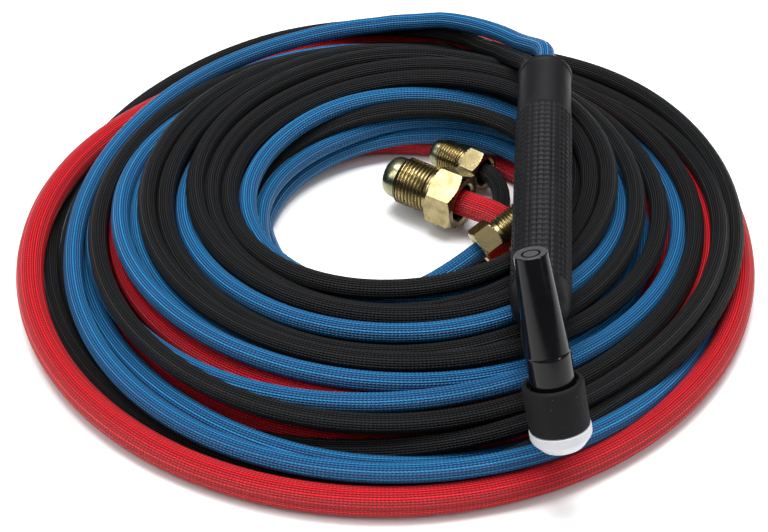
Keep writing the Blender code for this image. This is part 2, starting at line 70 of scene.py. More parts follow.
# Each fitting: the centre of its rear face from the coil's centre, its axis towards the nose, and where its
# hose ends ahead of that face.
FITTINGS = {
    "power": {"rear": (0.0364, 0.0162, 0.0154), "axis": (-0.8480, 0.5292, 0.0301), "hose_end": 0.0080},
    "gas": {"rear": (0.0480, 0.0450, 0.0118), "axis": (-0.7800, 0.6250, -0.0300), "hose_end": 0.0055},
    "water": {"rear": (0.0423, -0.0237, 0.0196), "axis": (0.7995, 0.4197, 0.4297), "hose_end": 0.0055},
}

# ---------------------------------------- the hoses' routes, from the coil's centre

LEADS = {
    "power": [
        (0.0782, 0.0630, 0.0562), (0.0768, 0.0770, 0.0518), (0.0705, 0.0943, 0.0432),
        (0.0608, 0.1132, 0.0345), (0.0538, 0.1292, 0.0288), (0.0430, 0.1435, 0.0250),
        (0.0290, 0.1542, 0.0215), (0.0120, 0.1592, 0.0170), (-0.0080, 0.1595, 0.0130),
    ],
    "gas": [
        (0.0682, 0.0620, 0.0600), (0.0660, 0.0730, 0.0555), (0.0618, 0.0860, 0.0495),
        (0.0563, 0.1020, 0.0429), (0.0493, 0.1172, 0.0364), (0.0416, 0.1310, 0.0329),
        (0.0252, 0.1450, 0.0286), (0.0080, 0.1527, 0.0255), (-0.0110, 0.1568, 0.0244),
    ],
    "water": [
        (0.0749, 0.0620, 0.0666), (0.0738, 0.0710, 0.0640), (0.0710, 0.0805, 0.0595),
        (0.0660, 0.0930, 0.0538), (0.0565, 0.1110, 0.0482), (0.0425, 0.1285, 0.0425),
        (0.0298, 0.1385, 0.0387), (0.0164, 0.1445, 0.0342), (0.0035, 0.1472, 0.0318),
        (-0.0092, 0.1484, 0.0286),
    ],
}
TAILS = {
    "power": [
        (0.0500, 0.0078, 0.0154), (0.0602, -0.0015, 0.0134), (0.0668, -0.0135, 0.0104),
        (0.0688, -0.0300, 0.0078), (0.0640, -0.0470, 0.0064), (0.0560, -0.0610, 0.0061),
    ],
    "gas": [
        (0.0530, 0.0405, 0.0106), (0.0553, 0.0320, 0.0076), (0.0541, 0.0210, 0.0052),
        (0.0508, 0.0080, 0.0046), (0.0475, -0.0070, 0.0046), (0.0430, -0.0240, 0.0046),
        (0.0355, -0.0410, 0.0046), (0.0240, -0.0545, 0.0046), (0.0090, -0.0640, 0.0048),
        (-0.0080, -0.0700, 0.0052),
    ],
    "water": [
        (0.0310, -0.0295, 0.0140), (0.0190, -0.0352, 0.0095), (0.0060, -0.0398, 0.0068),
        (-0.0080, -0.0425, 0.0055), (-0.0230, -0.0412, 0.0050), (-0.0360, -0.0350, 0.0050),
        (-0.0480, -0.0230, 0.0055),
    ],
}
# Each hose's first turn in the coil: (degrees, millimetres from the centre, millimetres above the floor),
# anticlockwise from above.
FIRST_TURN = {
    "power": [
        (104, 156, 12), (118, 151, 12), (132, 148.5, 14.5), (145, 149, 15), (157, 152.5, 13.5),
        (167, 157, 10), (180, 160.5, 6), (225, 160.5, 6), (270, 160, 6), (315, 160, 6), (360, 160, 6),
        (405, 151, 6),
    ],
    "gas": [
        (102, 161, 20), (112, 160.5, 19), (124, 160.5, 15), (136, 161, 11), (147, 160.5, 8),
        (156, 158, 6), (165, 152, 4.2), (180, 146.5, 4.2), (225, 148.5, 4.2), (270, 149.9, 4.2),
        (315, 150, 9), (360, 157, 15), (405, 158.5, 15),
    ],
    "water": [
        (103, 145.5, 25), (113, 139, 25), (128, 131, 25), (146, 129.5, 23), (161, 133.5, 17),
        (180, 138, 10), (225, 146, 12), (270, 152, 12.2), (315, 153, 8), (360, 149.8, 4.2),
        (405, 140.5, 4.2),
    ],
}
# Each further turn, in millimetres: how far from the centre and how high it runs on the left, and then how
# far and how high at the front.
TURNS = {
    "power": [
        (119.5, 6, 131, 6),
        (120.5, 18, 113.5, 17),
        (107.5, 6, 118.5, 6),
        (95.5, 6, 106, 6),
        (101, 16, 101, 16.3),
        (83.5, 6, 93.5, 6),
        (89, 16, 88.5, 16.3),
        (72, 6, 81, 6),
        (62, 7, 68.7, 6),
    ],
    "gas": [
        (138, 4.2, 141.2, 4.2),
        (126.5, 21, 128.5, 17.5),
        (104.5, 31, 106.5, 35),
        (98, 33, 100, 30),
        (85.5, 34, 81.5, 35.4),
        (78, 32, 75, 30.5),
        (70.5, 34, 68.5, 35.4),
        (93, 25, 93.5, 24.2),
        (62, 24, 67.5, 18.5),
        (60, 14, 68, 6),
    ],
    "water": [
        (129.5, 5, 143.7, 12.2),
        (132, 14, 121.7, 22.3),
        (112.5, 27, 114, 29.5),
        (91.5, 34, 93.5, 35.2),
        (84, 27, 87.2, 29.8),
        (105, 24, 106, 24.2),
        (73, 24, 81, 24.2),
        (56, 20, 69, 26.7),
        (55.5, 12, 74.9, 14.1),
        (55.2, 4.2, 66, 5),
    ],
}
# Places on the far side and on the right that aren't in line with those on the left and at the front.
FAR_PLACES = {
    ("power", 1): (143, 6), ("power", 2): (131, 6), ("power", 3): (125, 16.4), ("power", 4): (119, 6),
    ("power", 5): (113, 16.4), ("power", 6): (107, 6), ("power", 7): (101, 16.4), ("power", 8): (95, 6),
    ("power", 9): (83, 6), ("gas", 1): (147.5, 15), ("water", 1): (153, 4.2), ("water", 2): (137, 12.5),
    ("water", 3): (124, 20), ("water", 4): (103, 26), ("water", 8): (77, 33), ("water", 9): (75, 15),
    ("water", 10): (74.5, 5), ("gas", 2): (131, 24), ("gas", 3): (120, 30), ("gas", 4): (112, 33),
    ("gas", 5): (103, 34), ("gas", 6): (95, 35), ("gas", 7): (86, 35), ("gas", 10): (76, 24),
}
RIGHT_PLACES = {
    ("power", 1): (142, 11), ("power", 2): (129, 6), ("power", 3): (118, 16.4), ("power", 4): (111, 6),
    ("power", 5): (104.7, 16.4), ("power", 6): (98.5, 6), ("power", 7): (92.2, 16.4),
    ("power", 8): (86, 6), ("water", 1): (141.2, 4.2), ("water", 2): (126, 26), ("water", 3): (113, 24),
    ("water", 4): (99, 28), ("gas", 1): (149, 20), ("gas", 2): (136.5, 26), ("gas", 3): (123, 32),
    ("gas", 4): (109, 35), ("gas", 5): (100, 36), ("gas", 6): (91, 37), ("gas", 7): (83, 38),
}
# Places 45 degrees further round, between the right and the far side.
FAR_RIGHT_PLACES = {
    ("power", 1): (141, 6), ("power", 2): (129, 6), ("power", 3): (119, 14), ("gas", 1): (152.5, 23),
    ("gas", 2): (140, 22), ("gas", 3): (126.5, 31), ("water", 1): (134.5, 14.5),
    ("water", 2): (131.5, 24),
}
# The angle at which each hose leaves the coil for its tail, after so many whole turns.
LAST_ANGLE = {"power": 9 * 360 + 300, "gas": 10 * 360 + 252, "water": 10 * 360 + 198}


def unit(vector):
    vector = np.asarray(vector, float)
    return vector / np.linalg.norm(vector)


def spline(points, spacing):
    """A smooth curve through the points, with points of its own about that far apart."""
    points = np.asarray(points, float)
    gaps = np.sqrt(np.linalg.norm(np.diff(points, axis=0), axis=1))
    knots = np.concatenate([[0], np.cumsum(gaps)])
    slopes = np.gradient(points, knots, axis=0)
    fine = np.linspace(0, knots[-1], 24 * len(points))
    curve = hermite(knots, points, slopes, fine)
    return evenly(curve, spacing)


def hermite(knots, values, slopes, wanted):
    """Cubic pieces through the values, with those slopes at the knots."""
    piece = np.clip(np.searchsorted(knots, wanted, side="right") - 1, 0, len(knots) - 2)
    width = knots[piece + 1] - knots[piece]
    t = (wanted - knots[piece]) / width
    if values.ndim > 1:
        t, width = t[:, None], width[:, None]
    start = values[piece] * (2 * t**3 - 3 * t**2 + 1) + slopes[piece] * width * (t**3 - 2 * t**2 + t)
    end = values[piece + 1] * (3 * t**2 - 2 * t**3) + slopes[piece + 1] * width * (t**3 - t**2)
    return start + end


def evenly(curve, spacing):
    """The same line with its points the same distance apart."""
    along = np.concatenate([[0], np.cumsum(np.linalg.norm(np.diff(curve, axis=0), axis=1))])
    count = max(2, int(round(along[-1] / spacing)) + 1)
    wanted = np.linspace(0, along[-1], count)
    return np.stack([np.interp(wanted, along, curve[:, i]) for i in range(3)], axis=1)


def length_of(curve):
    return float(np.linalg.norm(np.diff(curve, axis=0), axis=1).sum())


def across_handle():
    """The directions to the handle's right and straight up from it."""
    right = unit(np.cross(HANDLE_AXIS, (0, 0, 1)))
    return right, np.cross(right, HANDLE_AXIS)


def lead_of(hose):
    """A hose's route from inside the handle down to the coil."""
    right, up = across_handle()
    side, rise = HOSE_PLACE[hose]
    start = HANDLE_FRONT - COIL_CENTRE + HANDLE_AXIS * HOSE_START[hose] + right * side + up * rise
    end = HANDLE_FRONT - COIL_CENTRE + HANDLE_AXIS * HANDLE_LENGTH + right * side + up * rise
    return [start, end] + [np.array(place) for place in LEADS[hose]]


# How far behind its fitting a hose is already straight.
STRAIGHT_END = 0.003


def tail_of(hose):
    """A hose's route from the coil to its fitting."""
    fitting = FITTINGS[hose]
    rear, axis = np.array(fitting["rear"]), unit(fitting["axis"])
    route = [np.array(place) for place in reversed(TAILS[hose])]
    return route + [rear - axis * STRAIGHT_END, rear + axis * fitting["hose_end"]]


# Degrees between a route's points in the coil.
COLUMN = 3
# Millimetres from the centre to the outermost hose.
COIL_RIM = 160
# The coil is narrower, and so higher, on the far side and on the right: by these shares.
FAR_NARROWED, FAR_RAISED = 0.86, 1.08
RIGHT_NARROWED, RIGHT_RAISED = 0.86, 1.10


def narrowed(distance, height, share, rise):
    """The same place in a stretch of the coil that is narrower by that share, and so higher."""
    return COIL_RIM - (COIL_RIM - distance) * share, height * rise


def coil_route(hose):
    """A hose's points in the coil, through its places on the far side, the left, the front and the right."""
    known = list(FIRST_TURN[hose])
    for turn, (left, left_height, front, front_height) in enumerate(TURNS[hose], start=1):
        far = FAR_PLACES.get((hose, turn), narrowed(left, left_height, FAR_NARROWED, FAR_RAISED))
        right = RIGHT_PLACES.get((hose, turn), narrowed(front, front_height, RIGHT_NARROWED, RIGHT_RAISED))
        places = [(90, *far), (180, left, left_height), (270, front, front_height), (360, *right)]
        if (hose, turn) in FAR_RIGHT_PLACES:
            places.append((405, *FAR_RIGHT_PLACES[hose, turn]))
        known += [(angle + 360 * turn, distance, height) for angle, distance, height in places]
    angles, distances, heights = np.array(known, float).T
    wanted = np.arange(math.ceil(angles[0] / COLUMN) * COLUMN, LAST_ANGLE[hose] + 1, COLUMN)
    places = np.stack([distances, heights], axis=1) * MM
    distance, height = hermite(angles, places, np.gradient(places, angles, axis=0), wanted).T
    turned = np.radians(wanted)
    return np.stack([distance * np.cos(turned), distance * np.sin(turned), height], axis=1)


def capsule_push(points, reach, start, end):
    """How far points that are nearer than reach to a straight bar must move to clear it."""
    bar = end - start
    t = np.clip((points - start) @ bar / (bar @ bar), 0, 1)
    away = points - (start + t[:, None] * bar)
    distance = np.maximum(np.linalg.norm(away, axis=1), TINY)
    short = np.maximum(reach - distance, 0)
    return away / distance[:, None] * short[:, None]


# Between two points of a hose while it settles.
SPACING = 0.006
# How far into the coil each hose is held closer to its places, and how many times closer.
HELD_LENGTH = {"power": 0.75, "gas": 3.3, "water": 0.75}
HELD_PULL = 4.0
SETTLE_STEPS = 260
# Steps from one search for neighbours to the next, and the room in which they are looked for.
SEARCH_EVERY = 6
SEARCH_ROOM = 0.0025
# Points of one hose that are nearer each other than this many don't push each other.
OWN_NEIGHBOURS = 6
# How far a hose sinks in one step at first, and the share of the settling after which it sinks no more.
SINK = 0.00018
SINKING_SHARE = 0.85
# The share of the way back to its place that a hose is pulled in one step at first.
HOME_PULL = 0.03
# How much of an overlap one push takes away, and how near along the hoses two points must be to push.
PUSH = 1.3
PUSH_REACH = 0.62
# The share of a bend that one step takes out, and the numbers of points over which bends in the coil are
# taken out, with the share for each.
STIFFNESS = 0.35
SMOOTHING = ((2, 1.0), (4, 1.0), (7, 0.35))
# How near the hoses come to the handle's surface, and to the neck's centre line.
HANDLE_GAP = 0.0003
NECK_ROOM = 0.0080
# Keeps a division by a length off zero.
TINY = 1e-9


def stiffened(values, reach):
    """The move that takes out bends shorter than reach and leaves the long ones."""
    bend, fair = np.zeros_like(values), np.zeros_like(values)
    bend[reach:-reach] = (values[: -2 * reach] + values[2 * reach :]) / 2 - values[reach:-reach]
    inner = slice(2 * reach, -2 * reach)
    fair[inner] = (bend - (np.roll(bend, reach, 0) + np.roll(bend, -reach, 0)) / 2)[inner]
    return STIFFNESS * fair


def settle(lines, free, in_coil, keen):
    """Lets the hoses come to rest: they sink, stay smooth, and keep off each other, the floor and the handle.
    Each point has how loose it is, whether it is in the coil, and how keenly it keeps to its place."""
    names = list(lines)
    count = [len(lines[n]) for n in names]
    first = np.concatenate([[0], np.cumsum(count)])
    points = np.concatenate([lines[n] for n in names])
    home = points.copy()
    own = np.concatenate([np.full(c, HOSE_RADIUS[n]) for n, c in zip(names, count)])
    hose = np.concatenate([np.full(c, i) for i, c in enumerate(count)])
    loose = np.concatenate([free[n] for n in names]).astype(float)
    coiled = np.concatenate([in_coil[n] for n in names])
    keen = np.concatenate([keen[n] for n in names])
    handle_start = HANDLE_FRONT - COIL_CENTRE
    handle_end = handle_start + HANDLE_AXIS * HANDLE_LENGTH
    neck_end = HEAD_FOOT - COIL_CENTRE + HEAD_AXIS * NECK_HEIGHT
    held_in_coil = (loose * coiled)[:, None]
    for step in range(SETTLE_STEPS):
        left_over = 1 - step / SETTLE_STEPS
        if step % SEARCH_EVERY == 0:
            square = (points**2).sum(axis=1)
            near = square[:, None] + square[None, :] - 2 * points @ points.T
            limit = (own[:, None] + own[None, :] + SEARCH_ROOM) ** 2 + SPACING**2
            a, b = np.nonzero(np.triu(near < limit, 1))
            keep = (hose[a] != hose[b]) | (b - a > OWN_NEIGHBOURS)
            keep &= (loose[a] + loose[b]) > 0
            a, b = a[keep], b[keep]
        tangent = np.empty_like(points)
        tangent[1:-1] = points[2:] - points[:-2]
        tangent[0], tangent[-1] = tangent[1], tangent[-2]
        tangent /= np.linalg.norm(tangent, axis=1)[:, None]
        points[:, 2] -= SINK * loose * max(0.0, 1 - step / (SETTLE_STEPS * SINKING_SHARE))
        points[:, :2] += (home - points)[:, :2] * (HOME_PULL * loose * keen * left_over)[:, None]
        between = points[b] - points[a]
        shared = tangent[a] + tangent[b] * np.sign((tangent[a] * tangent[b]).sum(axis=1))[:, None]
        shared /= np.maximum(np.linalg.norm(shared, axis=1), TINY)[:, None]
        along = (between * shared).sum(axis=1)
        across = between - along[:, None] * shared
        distance = np.maximum(np.linalg.norm(across, axis=1), TINY)
        short = own[a] + own[b] - distance
        touching = (short > 0) & (np.abs(along) < PUSH_REACH * SPACING)
        ta, tb = a[touching], b[touching]
        share = (loose[ta] / (loose[ta] + loose[tb]))[:, None]
        push = across[touching] / distance[touching][:, None] * short[touching][:, None]
        forward, backward = push * (1 - share), push * share
        move = np.zeros_like(points)
        for axis in range(3):
            move[:, axis] = np.bincount(tb, forward[:, axis], len(points))
            move[:, axis] -= np.bincount(ta, backward[:, axis], len(points))
        hits = np.bincount(ta, minlength=len(points)) + np.bincount(tb, minlength=len(points))
        points += move / np.maximum(hits, 1)[:, None] * PUSH
        for i in range(len(names)):
            line = points[first[i] : first[i + 1]]
            held = loose[first[i] : first[i + 1], None]
            line += stiffened(line, 1) * held
            distance_out = np.hypot(line[:, 0], line[:, 1])
            section = np.stack([distance_out, line[:, 2]], axis=1)
            bent = (held[:, 0] * coiled[first[i] : first[i + 1]])[:, None]
            for reach, part in SMOOTHING:
                section += stiffened(section, reach) * bent * part
            line[:, :2] *= (section[:, 0] / distance_out)[:, None]
            line[:, 2] = section[:, 1]
        home_distance = np.hypot(points[:, 0], points[:, 1])
        outward = points[:, :2] / np.maximum(home_distance, TINY)[:, None]
        over = np.maximum(home_distance + own - COIL_EDGE, 0) * loose * coiled
        points[:, :2] -= outward * over[:, None]
        from_hole = points[:, :2] - HOLE_CENTRE
        hole_distance = np.maximum(np.linalg.norm(from_hole, axis=1), TINY)
        inside = np.maximum(HOLE_RADIUS + own - hole_distance, 0) * loose * coiled
        points[:, :2] += from_hole / hole_distance[:, None] * inside[:, None]
        reach = own + HANDLE_RADIUS + HANDLE_GAP
        points += capsule_push(points, reach, handle_start, handle_end) * held_in_coil
        points += capsule_push(points, own + NECK_ROOM, neck_end, handle_start) * held_in_coil
        points[:, 2] = np.maximum(points[:, 2], own)
    return {n: points[first[i] : first[i + 1]] for i, n in enumerate(names)}


# The end of each lead and of each tail that settles with the coil, and the length over which a hose comes
# loose.
LOOSE_LEAD_END = 0.015
LOOSE_TAIL_END = 0.020
LOOSENING = 0.03
# How far along from there a hose counts as coiled, at its lead and at its tail.
COILED_FROM_LEAD = 0.02
COILED_FROM_TAIL = 0.06
# How far apart a hose's points are while it is measured, and when it is laid.
FINE_SPACING = 0.002
LAID_SPACING = 0.005


def hose_lines():
    """Each hose's centreline, from inside the handle to inside its fitting."""
    lines, free, in_coil, keen = {}, {}, {}, {}
    for hose in HOSES:
        lead, tail = lead_of(hose), tail_of(hose)
        route = np.concatenate([lead, coil_route(hose)[0:-2:3], tail[1:]])
        line = spline(route, SPACING)
        lead_length = length_of(spline(lead, FINE_SPACING)) - LOOSE_LEAD_END
        tail_length = length_of(spline(tail, FINE_SPACING)) - LOOSE_TAIL_END
        from_start = np.arange(len(line)) * SPACING
        from_end = from_start[-1] - from_start
        lines[hose] = line
        free[hose] = np.clip((from_start - lead_length) / LOOSENING, 0, 1)
        free[hose] *= np.clip((from_end - tail_length) / LOOSENING, 0, 1)
        in_coil[hose] = from_start > lead_length + COILED_FROM_LEAD
        in_coil[hose] &= from_end > tail_length + COILED_FROM_TAIL
        keen[hose] = np.where(from_start < lead_length + HELD_LENGTH[hose], HELD_PULL, 1.0)
    lines = settle(lines, free, in_coil, keen)
    return {hose: evenly(lines[hose], LAID_SPACING) + COIL_CENTRE for hose in HOSES}


def tube_mesh(name, path, radius, segments=20):
    """A closed tube along a path. Its UV map "braid" is in metres along it and in turns round it."""
    path = np.asarray(path, float)
    tangent = np.gradient(path, axis=0)
    tangent /= np.linalg.norm(tangent, axis=1)[:, None]
    side = unit(np.cross(tangent[0], (0, 0, 1)))
    along = np.concatenate([[0], np.cumsum(np.linalg.norm(np.diff(path, axis=0), axis=1))])
    turn = 2 * math.pi * np.arange(segments) / segments
    rings = []
    for point, direction in zip(path, tangent):
        side = unit(side - direction * (side @ direction))
        other = np.cross(direction, side)
        rings.append(point + radius * (np.cos(turn)[:, None] * side + np.sin(turn)[:, None] * other))
    vertices = np.concatenate(rings + [path[:1], path[-1:]])
    faces, uvs = [], []
    for i in range(len(path) - 1):
        for j in range(segments):
            k = (j + 1) % segments
            here, there = i * segments, (i + 1) * segments
            faces.append((here + j, here + k, there + k, there + j))
            start, end = j / segments, (j + 1) / segments
            uvs += [(along[i], start), (along[i], end), (along[i + 1], end), (along[i + 1], start)]
    last = (len(path) - 1) * segments
    for j in range(segments):
        k = (j + 1) % segments
        faces.append((j, len(vertices) - 2, k))
        faces.append((last + k, len(vertices) - 1, last + j))
        uvs += [(0, 0)] * 6
    mesh = bpy.data.meshes.new(name)
    mesh.from_pydata(vertices.tolist(), [], faces)
    layer = mesh.uv_layers.new(name="braid")
    layer.data.foreach_set("uv", np.array(uvs, np.float32).ravel())
    mesh.shade_smooth()
    return new_object(name, mesh)


def new_object(name, mesh):
    obj = bpy.data.objects.new(name, mesh)
    bpy.context.scene.collection.objects.link(obj)
    return obj


def rounded(profile, size):
    """A turned profile with its corners rounded: each corner becomes a short curve of that size."""
    made = [profile[0]]
    for before, corner, after in zip(profile, profile[1:], profile[2:]):
        before, corner, after = np.array(before), np.array(corner), np.array(after)
        into, out = before - corner, after - corner
        near = corner + unit(into) * min(size, np.linalg.norm(into) * 0.45)
        far = corner + unit(out) * min(size, np.linalg.norm(out) * 0.45)
        for t in (0, 0.33, 0.67, 1):
            made.append(tuple(near * (1 - t) ** 2 + corner * 2 * t * (1 - t) + far * t**2))
    return made + [profile[-1]]


def axes_of(axis):
    """A turned piece's own x, y and z directions, the same as the CAD's."""
    z_axis = unit(axis)
    x_axis = unit(np.cross((0, 0, 1), z_axis))
    return x_axis, np.cross(z_axis, x_axis), z_axis


# A point of a turned profile that is nearer the axis than this is on it.
ON_AXIS = 1e-7


def lathe(name, profile, foot, axis, columns=96, shape=None, up=None, sharp=34):
    """A turned piece. Its profile of (radius, height) runs down the outer side and back up the bore; a piece
    with no bore starts and ends on the axis. Shape gives the (radii, heights) of a row's points."""
    x_axis, y_axis, z_axis = axes_of(axis)
    if up is not None:
        x_axis = unit(np.cross(up, z_axis))
        y_axis = np.cross(z_axis, x_axis)
    angles = 2 * math.pi * np.arange(columns) / columns
    points, rows = [], []
    for row, (radius, height) in enumerate(profile):
        if radius < ON_AXIS:
            rows.append([len(points)] * columns)
            points.append(np.asarray(foot) + z_axis * height)
            continue
        radii, heights = np.full(columns, radius), np.full(columns, height)
        if shape:
            radii, heights = shape(row, radii, heights, angles)
        ring = np.outer(radii * np.cos(angles), x_axis) + np.outer(radii * np.sin(angles), y_axis)
        ring += np.outer(heights, z_axis) + np.asarray(foot)
        rows.append(list(range(len(points), len(points) + columns)))
        points += list(ring)
    pairs = list(zip(rows, rows[1:]))
    if profile[0][0] > ON_AXIS:
        pairs.append((rows[-1], rows[0]))
    faces = []
    for upper, lower in pairs:
        for j in range(columns):
            k = (j + 1) % columns
            corners = [upper[j], lower[j], lower[k], upper[k]]
            face = [c for i, c in enumerate(corners) if c != corners[i - 1]]
            if len(face) > 2:
                faces.append(face)
    mesh = bpy.data.meshes.new(name)
    mesh.from_pydata([tuple(p) for p in points], [], faces)
    mesh.shade_smooth()
    mesh.set_sharp_from_angle(angle=math.radians(sharp))
    return new_object(name, mesh)


def applied(obj):
    """The object with its modifiers applied."""
    bpy.context.view_layer.update()
    mesh = bpy.data.meshes.new_from_object(obj.evaluated_get(bpy.context.evaluated_depsgraph_get()))
    obj.modifiers.clear()
    obj.data = mesh
    return obj


def combined(obj, other, operation):
    """The object joined with the other, or with the other cut from it. The other is used up."""
    change = obj.modifiers.new(operation, "BOOLEAN")
    change.operation = operation
    change.solver = "EXACT"
    change.object = other
    applied(obj)
    bpy.data.objects.remove(other, do_unlink=True)
    return obj


# ---------------------------------------- materials


def node(tree, kind, inputs, **settings):
    """A shader node with its settings, and with its inputs set or linked."""
    made = tree.nodes.new(kind)
    for key, value in settings.items():
        setattr(made, key, value)
    for socket, value in inputs.items():
        if isinstance(value, bpy.types.NodeSocket):
            tree.links.new(value, made.inputs[socket])
        else:
            made.inputs[socket].default_value = value
    return made


def maths(tree, operation, first, second=0.0):
    return node(tree, "ShaderNodeMath", {0: first, 1: second}, operation=operation).outputs[0]


def ranged(tree, value, from_low, from_high, to_low, to_high):
    sockets = {0: value, 1: from_low, 2: from_high, 3: to_low, 4: to_high}
    return node(tree, "ShaderNodeMapRange", sockets, interpolation_type="SMOOTHSTEP").outputs[0]


def mixed(tree, share, first, second):
    """A colour between two others."""
    sockets = {0: share, 6: first, 7: second}
    return node(tree, "ShaderNodeMix", sockets, data_type="RGBA").outputs[2]


def noise(tree, place, scale, detail=3.0, roughness=0.55):
    sockets = {"Vector": place, "Scale": scale, "Detail": detail, "Roughness": roughness}
    return node(tree, "ShaderNodeTexNoise", sockets).outputs[0]


def own_place(tree):
    """A point's place on its piece, in metres."""
    return node(tree, "ShaderNodeTexCoord", {}).outputs["Object"]


def start_material(name, **values):
    """A new material, with the values that are the same all over its surface."""
    material = bpy.data.materials.new(name)
    material.use_nodes = True
    tree = material.node_tree
    shader = tree.nodes["Principled BSDF"]
    for socket, value in values.items():
        shader.inputs[socket.replace("_", " ")].default_value = value
    return material, tree, shader


def link(tree, shader, **sockets):
    for socket, value in sockets.items():
        tree.links.new(value, shader.inputs[socket.replace("_", " ")])


def bump(tree, shader, height, distance, strength=1.0):
    sockets = {"Height": height, "Distance": distance, "Strength": strength}
    link(tree, shader, Normal=node(tree, "ShaderNodeBump", sockets).outputs[0])


# The braid: how wide a row of yarn is, how long a stitch is, and how high the yarn stands.
YARN_WIDTH = 0.00108
STITCH = 0.00155
YARN_HEIGHT = 0.0008


def braid(name, light, dark, radius, gloss):
    """Braided yarn: rows of slanted stitches along the hose, each row half a stitch on from the next, with
    painted highlight on their crowns and painted shade in the gaps. Every third row stands higher and has a
    brighter painted highlight, and painted highlight streaks run along the rows."""
    material, tree, shader = start_material(name, Specular_IOR_Level=gloss)
    # A multiple of six, so that every second and every third row also match where the rows close.
    rows = 6 * round(math.pi * radius / YARN_WIDTH / 3)
    uv = node(tree, "ShaderNodeUVMap", {}, uv_map="braid").outputs[0]
    split = node(tree, "ShaderNodeSeparateXYZ", {0: uv})
    along, around = split.outputs[0], split.outputs[1]
    row = maths(tree, "MULTIPLY", around, float(rows))
    across_row = maths(tree, "FRACT", row)
    number = maths(tree, "FLOOR", row)
    odd = maths(tree, "MODULO", number, 2.0)
    slant = maths(tree, "MULTIPLY", maths(tree, "SUBTRACT", odd, 0.5), across_row)
    slant = maths(tree, "MULTIPLY", slant, 0.9)
    stitch = maths(tree, "ADD", maths(tree, "DIVIDE", along, STITCH), maths(tree, "MULTIPLY", odd, 0.5))
    stitch = maths(tree, "ADD", stitch, slant)
    crown = maths(tree, "ABSOLUTE", maths(tree, "SINE", maths(tree, "MULTIPLY", stitch, math.pi)))
    ridge = maths(tree, "SINE", maths(tree, "MULTIPLY", across_row, math.pi))
    # Every third row stands higher in the bump; through the colour its height also gives it a brighter
    # painted highlight.
    proud = maths(tree, "LESS_THAN", maths(tree, "MODULO", number, 3.0), 0.5)
    height = maths(tree, "MULTIPLY", ridge, maths(tree, "ADD", maths(tree, "MULTIPLY", crown, 0.55), 0.45))
    height = maths(tree, "MULTIPLY", height, maths(tree, "ADD", maths(tree, "MULTIPLY", proud, 0.45), 0.55))
    turn = maths(tree, "MULTIPLY", around, 2 * math.pi)
    sockets = {
        0: maths(tree, "MULTIPLY", maths(tree, "COSINE", turn), 2.4),
        1: maths(tree, "MULTIPLY", maths(tree, "SINE", turn), 2.4),
        2: maths(tree, "MULTIPLY", along, 3.0),
    }
    round_place = node(tree, "ShaderNodeCombineXYZ", sockets).outputs[0]
    # Painted highlight streaks along the rows: a slow noise brightens some rows and dims others, standing in
    # for the yarn's gloss.
    painted_highlight_streaks = ranged(tree, noise(tree, round_place, 1.6, 2.0), 0.3, 0.7, 0.50, 1.0)
    # Painted highlight on the yarn's crowns and painted shade in the gaps between rows and stitches, mixed
    # into the base colour.
    painted_highlight_and_shade = maths(tree, "MULTIPLY", ranged(tree, height, 0.14, 0.76, 0.0, 1.0), painted_highlight_streaks)
    link(tree, shader, Base_Color=mixed(tree, painted_highlight_and_shade, (*dark, 1), (*light, 1)))
    link(tree, shader, Roughness=ranged(tree, height, 0.0, 1.0, 0.60, 0.34))
    bump(tree, shader, height, YARN_HEIGHT, 1.0)
    return material


def brass(name, light, dark, tarnish):
    """Machined brass: fine turning marks, a little tarnish in patches and a few dull spots."""
    material, tree, shader = start_material(name, Metallic=1.0)
    place = own_place(tree)
    patches = noise(tree, place, 130.0, 5.0, 0.6)
    fine = noise(tree, place, 1400.0, 3.0, 0.6)
    spots = node(tree, "ShaderNodeTexVoronoi", {"Vector": place, "Scale": 420.0}).outputs["Distance"]
    worn = ranged(tree, patches, 0.35, 0.7, 0.0, 1.0)
    colour = mixed(tree, worn, (*light, 1), (*dark, 1))
    colour = mixed(tree, ranged(tree, spots, 0.16, 0.05, 0.0, 0.5), colour, (*tarnish, 1))
    link(tree, shader, Base_Color=colour)
    dullness = ranged(tree, patches, 0.3, 0.75, 0.17, 0.34)
    link(tree, shader, Roughness=maths(tree, "ADD", dullness, maths(tree, "MULTIPLY", fine, 0.06)))
    bump(tree, shader, maths(tree, "ADD", fine, patches), 0.00005, 0.5)
    return material


def phenolic(name):
    """Gloss black phenolic, with the faint flow of its moulding and the haze of handling."""
    material, tree, shader = start_material(name, Specular_IOR_Level=0.26)
    place = own_place(tree)
    flow = noise(tree, place, 60.0, 4.0)
    haze = noise(tree, place, 220.0, 6.0, 0.7)
    link(tree, shader, Base_Color=mixed(tree, flow, (0.002, 0.002, 0.003, 1), (0.006, 0.006, 0.007, 1)))
    link(tree, shader, Roughness=ranged(tree, haze, 0.35, 0.75, 0.10, 0.22))
    bump(tree, shader, haze, 0.00003, 0.6)
    return material


def dull_tip(name):
    """The cap's moulded end, which is left dull."""
    material, tree, shader = start_material(name, Specular_IOR_Level=0.3)
    grain = noise(tree, own_place(tree), 2600.0, 4.0, 0.65)
    link(tree, shader, Base_Color=mixed(tree, grain, (0.024, 0.024, 0.026, 1), (0.052, 0.052, 0.057, 1)))
    link(tree, shader, Roughness=ranged(tree, grain, 0.3, 0.7, 0.45, 0.65))
    bump(tree, shader, grain, 0.00008, 0.7)
    return material


